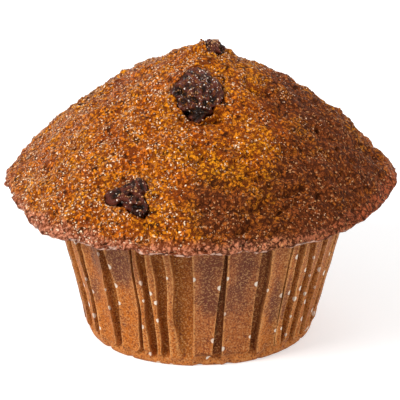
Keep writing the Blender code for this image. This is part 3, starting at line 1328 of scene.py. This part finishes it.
@dataclass
class PaperCase:
    """The pleated greaseproof cup with its flat round foot."""

    finish: PaperFinish = PaperFinish()
    front_start: float = -165.0
    height: float = 0.0315
    foot_radius: float = 0.0254
    slope: float = 0.26
    depth: float = 0.0021
    flat_sway: float = 0.6
    loose_sway: float = 2.1
    last_loose_pleat: int = 4
    sway_rate: float = 2.6
    bowed_crest: float = 4.0
    lit_edge: float = 0.9
    paper: float = 0.00012
    corner: float = 0.0005
    band_top: float = 0.0026
    foot_swell: float = 0.0008
    swell_direction: float = -138.0
    swell_reach: float = 42.0
    swell_heights: tuple[float, float] = (0.0150, 0.0010)
    crinkle: float = 0.00012
    seed: int = 11
    foot_levels: tuple[float, ...] = (
        0.0, 0.12, 0.35, 0.7, 1.1, 1.5, 1.9, 2.15, 2.35, 2.55, 2.9, 3.4, 4.0,
    )
    first_even_level: float = 4.7
    even_levels: int = 34
    levels: tuple[float, ...] = field(init=False)
    pleats: list[Pleat] = field(init=False)
    crest_shares: tuple[float, ...] = (0.0, 0.07, 0.28, 0.5, 0.72, 0.93, 1.0)
    floor_shares: tuple[float, ...] = (0.14, 0.38, 0.62, 0.86)
    wall_steps: tuple[float, ...] = (0.42, 0.85)
    foot_rings: tuple[float, ...] = (0.96, 0.8, 0.5)
    stains: tuple[Stain, ...] = (
        Stain(-126.0, 0.0245, 6.5, 0.0050, 1.0),
        Stain(-87.0, 0.0175, 5.5, 0.0045, 1.0),
        Stain(-86.0, 0.0270, 6.5, 0.0040, 0.65),
        Stain(-72.0, 0.0250, 6.0, 0.0050, 0.60),
        Stain(-53.0, 0.0140, 6.0, 0.0070, 0.70),
        Stain(-146.0, 0.0200, 4.0, 0.0060, 0.60),
    )

    def __post_init__(self) -> None:
        """Choose the heights of the bands: close at the foot, even above."""
        above = np.linspace(self.first_even_level, self.height / MM, self.even_levels)
        self.levels = tuple(value * MM for value in [*self.foot_levels, *above])
        self.pleats = self.all_pleats()

    def all_pleats(self) -> list[Pleat]:
        """Fill the back of the ring with pleats of seeded width.

        Returns:
            Every pleat round the ring.
        """
        chance = random.Random(self.seed)
        taken = sum(pleat.crest + pleat.groove for pleat in FRONT_PLEATS)
        back: list[tuple[float, float]] = []
        while taken + sum(crest + groove for crest, groove in back) < 352.0:
            back.append((chance.uniform(3.0, 5.5), chance.uniform(3.2, 5.2)))
        stretch = (360.0 - taken) / sum(crest + groove for crest, groove in back)
        shades = random.Random(self.seed + 1)
        return list(FRONT_PLEATS) + [
            Pleat(crest * stretch, groove * stretch, soak=shades.uniform(0.2, 0.9))
            for crest, groove in back
        ]

    @property
    def columns_per_pleat(self) -> int:
        """Number of columns that make one pleat."""
        return len(self.crest_shares) + len(self.floor_shares) + 2 * len(self.wall_steps)

    def sway_of(self, number: int) -> float:
        """Degrees that a pleat's edges wander: little on the flat front panels, more elsewhere."""
        pleat = self.pleats[number]
        flat = pleat.crest > BROAD_CREST and number > self.last_loose_pleat
        return self.flat_sway if flat else self.loose_sway

    def sway_in(self, number: int, rise: float) -> float:
        """Degrees that a crest's first edge has wandered at a share of the height."""
        spot = Vector((number * 5.3, rise * self.sway_rate, 0.5))
        return self.sway_of(number) * noise.noise(spot)

    def section(
        self, number: int, angle: float, height: float
    ) -> list[tuple[float, float, float, float]]:
        """Outline of one pleat at a height.

        Args:
            number: the pleat's number round the ring.
            angle: where its crest starts, in degrees.
            height: the height above the foot.

        Returns:
            For each column: angle in degrees, inset from the crest radius, painted edge light, painted
                fold shade.
        """
        pleat = self.pleats[number]
        rise = height / self.height
        opened = pleat.foot_gap * (1.0 - rise) ** 1.2
        spot = Vector((number * 5.3 + 2.6, rise * self.sway_rate, 4.5))
        sway_out = self.sway_of(number) * noise.noise(spot)
        start = angle + self.sway_in(number, rise)
        end = angle + pleat.crest + sway_out - 0.6 * opened
        following = (number + 1) % len(self.pleats)
        floor_end = angle + pleat.crest + pleat.groove + self.sway_in(following, rise)
        fade = smooth_step(0.0009, 0.0034 + 0.0006 * math.sin(number * 2.7), height)
        if pleat.shallow_foot:
            fade *= 1.0 - pleat.shallow_foot * smooth_step(0.45, 0.08, rise)
        depth = self.depth * fade * (0.9 + 0.35 * noise.noise(Vector((number * 3.1, rise * 1.5, 9.0))))
        hollow = 0.00012 * math.sin(number * 4.1) + 0.00005 * pleat.crest
        outline = []
        for share in self.crest_shares:
            border = min(share, 1.0 - share) * pleat.crest
            # Painted highlight along the crest's edges, stronger on its left edge.
            edge = max(1.0 - border / self.lit_edge, 0.0)
            inset = hollow * math.sin(math.pi * share) if pleat.crest > self.bowed_crest else 0.00004
            bright = edge if share < 0.5 else 0.6 * edge
            # Painted shade over the right part of the crest.
            crest_shade = (0.25 if pleat.crest > BROAD_CREST else 0.55) * smooth_step(0.45, 1.0, share)
            outline.append((start + (end - start) * share, inset, bright, crest_shade))
        # Painted shade on the groove walls and floor, darkest beside the crest.
        for step in self.wall_steps:
            outline.append((end + 0.25 * step - 0.1, depth * step, 0.25 * (1.0 - step), step))
        for share in self.floor_shares:
            shadow = 1.0 - 0.42 * smooth_step(0.2, 0.8, share)
            outline.append((end + (floor_end - end) * share, depth, 0.0, shadow))
        for step in reversed(self.wall_steps):
            outline.append((floor_end - 0.25 * step + 0.1, depth * step, 0.25 * (1.0 - step), step))
        pitch = (pleat.crest + pleat.groove) / len(outline)
        level = [angle + pitch * column for column in range(len(outline))]
        return [(flat + (turn - flat) * fade, *rest) for flat, (turn, *rest) in zip(level, outline)]

    def radius_at(self, height: float, number: int) -> float:
        """Radius of a pleat's crest, rounded in at the foot and stepped above its band.

        Args:
            height: the height above the foot.
            number: the pleat's number round the ring.

        Returns:
            The radius in metres.
        """
        radius = self.foot_radius + self.slope * height
        if height < self.corner:
            drop = (self.corner - height) / self.corner
            radius -= self.corner * (1.0 - math.sqrt(max(1.0 - drop * drop, 0.0)))
        step, curl = (0.00060, 0.00055) if number == BROAD_PLEAT else (0.00025, 0.00018)
        top = self.band_edge(number)
        curl *= math.exp(-(((height - top - 0.0004) / 0.0012) ** 2))
        return radius + curl - step * smooth_step(top, top - 0.0003, height)

    def band_edge(self, number: int) -> float:
        """Height of the foot band's upper edge on a pleat."""
        return self.band_top + 0.0007 * math.sin(number * 1.9)

    def foot_crease_shade(self, number: int, height: float) -> float:
        """Painted shade along the crease that turns the wall into its foot."""
        dark = 1.0 if number == BROAD_PLEAT else 0.6
        return dark * math.exp(-(((height - self.band_edge(number)) / 0.0004) ** 2))

    def build(self, groups: SharedGroups) -> bpy.types.Object:
        """Make the finished case.

        Args:
            groups: the shared shader groups.

        Returns:
            The dressed piece.
        """
        per_pleat = self.columns_per_pleat
        columns = per_pleat * len(self.pleats)
        bands = len(self.levels) - 1
        shape = bmesh.new()
        pipe = {"radius1": 1.0, "radius2": 1.0, "depth": 1.0}
        bmesh.ops.create_cone(shape, cap_ends=False, segments=columns, **pipe)
        upright = [e for e in shape.edges if abs(e.verts[0].co.z - e.verts[1].co.z) > 0.5]
        bmesh.ops.subdivide_edges(shape, edges=upright, cuts=bands - 1, use_grid_fill=True)
        starts = []
        angle = self.front_start
        for pleat in self.pleats:
            starts.append(angle)
            angle += pleat.crest + pleat.groove
        grid: dict[tuple[int, int], tuple[Vector, float, float, float, float]] = {}
        for band, height in enumerate(self.levels):
            for number, start in enumerate(starts):
                radius = self.radius_at(height, number)
                for column, (turn, inset, edge, fold) in enumerate(self.section(number, start, height)):
                    aside = turn_between(turn, self.swell_direction) / self.swell_reach
                    swell = self.foot_swell * math.exp(-(aside**2))
                    spot = Vector((math.cos(math.radians(turn)), math.sin(math.radians(turn)), 0.0))
                    swell *= smooth_step(*self.swell_heights, height)
                    place = spot * (radius - inset + swell) + Vector((0.0, 0.0, height))
                    crinkle = noise.noise(place / 0.0042) + 0.5 * noise.noise(place / 0.0016)
                    place -= spot * self.crinkle * crinkle * smooth_step(0.0, 0.004, height)
                    stain = sum(mark.at(turn, height) for mark in self.stains)
                    # Wide crests are darker in their middle; every pleat is more orange towards its
                    # crest edges and in its groove.
                    bowed = 1.0 - abs(2.0 * column / (len(self.crest_shares) - 1) - 1.0)
                    stain += 0.30 * max(bowed, 0.0) * smooth_step(4.0, 8.0, self.pleats[number].crest)
                    crease = self.foot_crease_shade(number, height)
                    # Painted shade of the folds, faded out near the foot, and of the foot crease.
                    fold = max(fold * smooth_step(0.0018, 0.0034, height), crease)
                    soak = self.pleats[number].soak + 0.25 * (1.0 - max(bowed, 0.0))
                    grid[(number * per_pleat + column, band)] = (place, edge, fold, soak, stain)
        marks = {
            Mark.LIT_FOLD_EDGE: lambda key, place: grid[key][1] * smooth_step(0.0018, 0.0030, place.z),
            Mark.FOLD_SHADE: lambda key, place: grid[key][2],
            Mark.SOAK: lambda key, place: grid[key][3],
            Mark.BROWNING: lambda key, place: grid[key][4],
            Mark.FOOT_BAND: lambda key, place: smooth_step(0.0030, 0.0016, place.z),
        }
        layers = {mark: shape.verts.layers.float.new(mark.value) for mark in marks}
        shape.loops.layers.uv.new("unfolded")
        keys = {}
        for corner in shape.verts:
            column = round(math.atan2(corner.co.y, corner.co.x) / (2 * math.pi) * columns) % columns
            band = round((corner.co.z + 0.5) * bands)
            keys[corner] = (column, band)
            corner.co = grid[column, band][0]
            for mark, rule in marks.items():
                corner[layers[mark]] = rule(keys[corner], corner.co)
        self.unfold(shape, keys, columns)
        rim = [e for e in shape.edges if e.is_boundary and all(v.co.z < 0.0005 for v in e.verts)]
        for shrink in self.foot_rings:
            rim = drawn_rim(shape, rim)
            bmesh.ops.scale(shape, vec=(shrink, shrink, 1.0), verts=corners_of(rim))
        bmesh.ops.edgeloop_fill(shape, edges=rim)
        bmesh.ops.recalc_face_normals(shape, faces=shape.faces)
        piece = new_object("pleated_case", shape)
        paper = piece.modifiers.new("paper", "SOLIDIFY")
        paper.thickness = self.paper
        paper.offset = -1.0
        piece.data.set_sharp_from_angle(angle=math.radians(48.0))
        piece.data.materials.append(self.finish.material(groups))
        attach(piece, BODY)
        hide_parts("paper_case")
        return piece

    def unfold(self, shape: bmesh.types.BMesh, keys: dict, columns: int) -> None:
        """Give each face its place on the unfolded paper, in millimetres from its nearest fold.

        Args:
            shape: the wall.
            keys: each vertex's column and band.
            columns: the number of columns round the ring.
        """
        per_pleat = self.columns_per_pleat
        middle = self.crest_shares.index(0.5)
        crest_end = len(self.crest_shares) - 1
        floor_middle = crest_end + len(self.wall_steps) + len(self.floor_shares) // 2
        ring = {key: corner.co.copy() for corner, key in keys.items()}
        layer = shape.loops.layers.uv["unfolded"]
        for face in shape.faces:
            face_keys = [keys[loop.vert] for loop in face.loops]
            lows = [column for column, _ in face_keys]
            left = columns - 1 if max(lows) - min(lows) > 1 else min(lows)
            pleat, within = divmod(left, per_pleat)
            if within < middle:
                anchor, mark = pleat * per_pleat, 2 * pleat
            elif within < floor_middle:
                anchor, mark = pleat * per_pleat + crest_end, 2 * pleat + 1
            else:
                anchor, mark = (pleat + 1) * per_pleat, 2 * pleat + 2
            for loop, (column, band) in zip(face.loops, face_keys):
                absolute = column + columns if left == columns - 1 and column == 0 else column
                step = 1 if absolute >= anchor else -1
                length = 0.0
                for index in range(anchor, absolute, step):
                    here = ring[(index % columns, band)]
                    length += (ring[((index + step) % columns, band)] - here).length
                loop[layer].uv = (10.0 * mark + step * length / MM, loop.vert.co.z / MM)


# ---------- Loose grains ----------


@dataclass
class LooseGrains:
    """Bran flakes and pale glint grains lying in the crust, each kind joined in one mesh."""

    kind: CrumbKind
    finish: GrainFinish
    count: int
    seed: int
    around_raisins: int = 600
    open_above: float = 0.0345
    open_lean: float = 0.15
    clusters: Lumps = Lumps(1.0, 0.0055, 31.0)
    cluster_lean: float = 18.0
    cluster_floor: float = -0.1
    raisin_edge: float = 0.0016
    stand: float = 0.12
    wobble_size: float = 0.0002
    wobble_share: float = 0.18

    def build(
        self, cake: bpy.types.Object, raisins: list[bpy.types.Object], groups: SharedGroups
    ) -> bpy.types.Object:
        """Scatter the grains over the crown, thickest round the raisins.

        Args:
            cake: the finished cake, whose vertices the grains lie on.
            raisins: the finished raisins, which a few grains lie on.
            groups: the shared shader groups.

        Returns:
            The dressed piece.
        """
        chance = random.Random(self.seed)
        hosts = [cake, *raisins]
        places = np.concatenate([corner_array(host.data, "co") for host in hosts])
        normals = np.concatenate([corner_array(host.data, "normal") for host in hosts])
        fruit = np.arange(len(places)) >= len(cake.data.vertices)
        open_top = (places[:, 2] > self.open_above) & (normals[:, 2] > self.open_lean)
        # The pale glint grains gather in clusters and thin out towards the right, so their painted
        # glints lie on the lit left side.
        thick = self.clusters.at(places) - self.cluster_lean * places[:, 0] > self.cluster_floor
        crown = np.flatnonzero(open_top & ~fruit & (thick | (self.kind is CrumbKind.BRAN)))
        edges = np.flatnonzero(open_top & ~fruit & (raisin_distance(places) < self.raisin_edge))
        skins = np.flatnonzero(open_top & fruit)
        fields = (crown, crown, crown, crown, edges, skins)
        smallest, largest = self.kind.value
        shape = bmesh.new()
        for number in range(self.count):
            ground = fields[number % len(fields)] if number < self.around_raisins else crown
            index = int(ground[chance.randrange(len(ground))])
            size = smallest + (largest - smallest) * chance.random() ** 2
            place = Vector(places[index]) + Vector(normals[index]) * (size * self.stand)
            lie = Vector(normals[index]).to_track_quat("Z", "Y").to_matrix().to_4x4()
            lie = lie @ Matrix.Rotation(chance.uniform(0.0, math.tau), 4, "Z")
            flat = 0.45 if self.kind is CrumbKind.BRAN else 0.8
            squash = Matrix.Diagonal((size, size * chance.uniform(0.5, 1.0), size * flat, 1.0))
            lie = Matrix.Translation(place) @ lie @ squash
            bmesh.ops.create_icosphere(shape, subdivisions=1, radius=0.5, matrix=lie)
        for corner in shape.verts:
            wobble = noise.noise_vector(corner.co / self.wobble_size)
            corner.co += wobble * smallest * self.wobble_share
        piece = new_object(self.finish.name + "_scatter", shape)
        move_corners(piece.data, corner_array(piece.data, "co"))
        if self.kind is CrumbKind.PALE_GLINT:
            piece.data.shade_flat()
        piece.data.materials.append(self.finish.material(groups))
        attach(piece, BODY)
        return piece


# ---------- Studio ----------


@dataclass(frozen=True)
class SoftBox:
    """A square studio lamp: direction and distance from the muffin, size and power."""

    name: str
    azimuth: float
    elevation: float
    distance: float
    size: float
    power: float


@dataclass
class Studio:
    """White floor, soft lamps and the camera."""

    camera_distance: float = 0.65
    camera_elevation: float = 22.0
    frame_width: float = 0.08992
    aim: tuple[float, float, float] = (-0.000225, 0.0, 0.029343)
    ambient: float = 0.40
    sensor_width: float = 36.0
    floor_radius: float = 1.6
    lamp_aim: tuple[float, float, float] = (0.0, 0.0, 0.035)
    lamps: tuple[SoftBox, ...] = (
        SoftBox("key", 214.0, 37.0, 0.70, 0.26, 4.6),
        SoftBox("fill", -35.0, 28.0, 0.80, 0.50, 2.2),
        SoftBox("back", 60.0, 50.0, 0.80, 0.45, 1.6),
    )

    def point_at(self, thing: bpy.types.Object, place: Vector, target: Vector) -> None:
        """Put a lamp or camera at a place, looking at a target."""
        thing.location = place
        thing.rotation_euler = (target - place).to_track_quat("-Z", "Y").to_euler()

    def add_lamp(self, box: SoftBox) -> None:
        """Add one soft lamp.

        Args:
            box: the lamp's direction, distance, size and power.
        """
        light = bpy.data.lights.new(box.name, "AREA")
        light.energy = box.power
        light.size = box.size
        lamp = bpy.data.objects.new(box.name, light)
        bpy.context.scene.collection.objects.link(lamp)
        azimuth, elevation = math.radians(box.azimuth), math.radians(box.elevation)
        level = math.cos(elevation)
        way = Vector((math.cos(azimuth) * level, math.sin(azimuth) * level, math.sin(elevation)))
        target = Vector(self.lamp_aim)
        self.point_at(lamp, target + way * box.distance, target)

    def add_camera(self) -> None:
        """Add the camera at the viewing angle."""
        data = bpy.data.cameras.new("camera")
        data.sensor_width = self.sensor_width
        data.lens = self.sensor_width * self.camera_distance / self.frame_width
        data.clip_start = 0.01
        camera = bpy.data.objects.new("camera", data)
        bpy.context.scene.collection.objects.link(camera)
        elevation = math.radians(self.camera_elevation)
        target = Vector(self.aim)
        place = target + Vector((0.0, -math.cos(elevation), math.sin(elevation))) * self.camera_distance
        self.point_at(camera, place, target)
        bpy.context.scene.camera = camera

    def add_floor(self) -> None:
        """Add the white floor, a flat round disc."""
        shape = bmesh.new()
        bmesh.ops.create_circle(shape, cap_ends=True, segments=96, radius=self.floor_radius)
        floor = new_object("studio_floor", shape)
        floor.data.materials.append(FloorFinish().material())

    def add_world(self) -> None:
        """Light the scene evenly, and show white behind it."""
        world = bpy.data.worlds.new("studio_world")
        bpy.context.scene.world = world
        world.use_nodes = True
        bench = ShaderBench(world.node_tree)
        background = world.node_tree.nodes["Background"]
        background.inputs["Color"].default_value = (1.0, 1.0, 1.0, 1.0)
        strength = bench.math("ADD", bench.times(bench.seen(), 1.0 - self.ambient), self.ambient)
        bench.feed(background.inputs["Strength"], strength)

    def build(self) -> None:
        """Set up the whole studio."""
        self.add_floor()
        self.add_world()
        for box in self.lamps:
            self.add_lamp(box)
        self.add_camera()
        bpy.context.scene.view_settings.view_transform = "Standard"


def report(piece: bpy.types.Object) -> None:
    """Log a finished piece's name and size."""
    size = [round(side / MM, 1) for side in piece.dimensions]
    LOG.info("%s: %d faces, %s mm", piece.name, len(piece.data.polygons), size)


def main() -> None:
    """Build the muffin's pieces in order, then the studio."""
    logging.basicConfig(level=logging.INFO, format="%(message)s")
    groups = SharedGroups(crumb_grain_group(), mottle_group())
    cake = Cake().build(groups)
    report(cake)
    skin = RaisinFinish().material(groups)
    raisins = [
        Raisin("raisin_peak", seed=1.0, crumbed=0.35).build(skin),
        Raisin("raisin_crown", seed=2.0, crumbed=0.9).build(skin),
        Raisin("raisin_front", seed=3.0, crumbed=0.15).build(skin),
    ]
    for raisin in raisins:
        report(raisin)
    report(PaperCase().build(groups))
    bran = GrainFinish(
        "bran", colour=(0.50, 0.22, 0.06), second=(0.20, 0.07, 0.02), roughness=0.5, coat=0.3
    )
    # Pale glossy grains: their pale colour is painted glint.
    pale_glint_grains = GrainFinish(
        "pale_glint_grains", colour=(0.72, 0.42, 0.24), second=(0.55, 0.24, 0.08), roughness=0.25, coat=1.0
    )
    for grains in (
        LooseGrains(CrumbKind.BRAN, bran, count=1500, seed=21),
        LooseGrains(CrumbKind.PALE_GLINT, pale_glint_grains, count=3000, seed=22),
    ):
        report(grains.build(cake, raisins, groups))
    Studio().build()


if __name__ == "__main__":
    main()
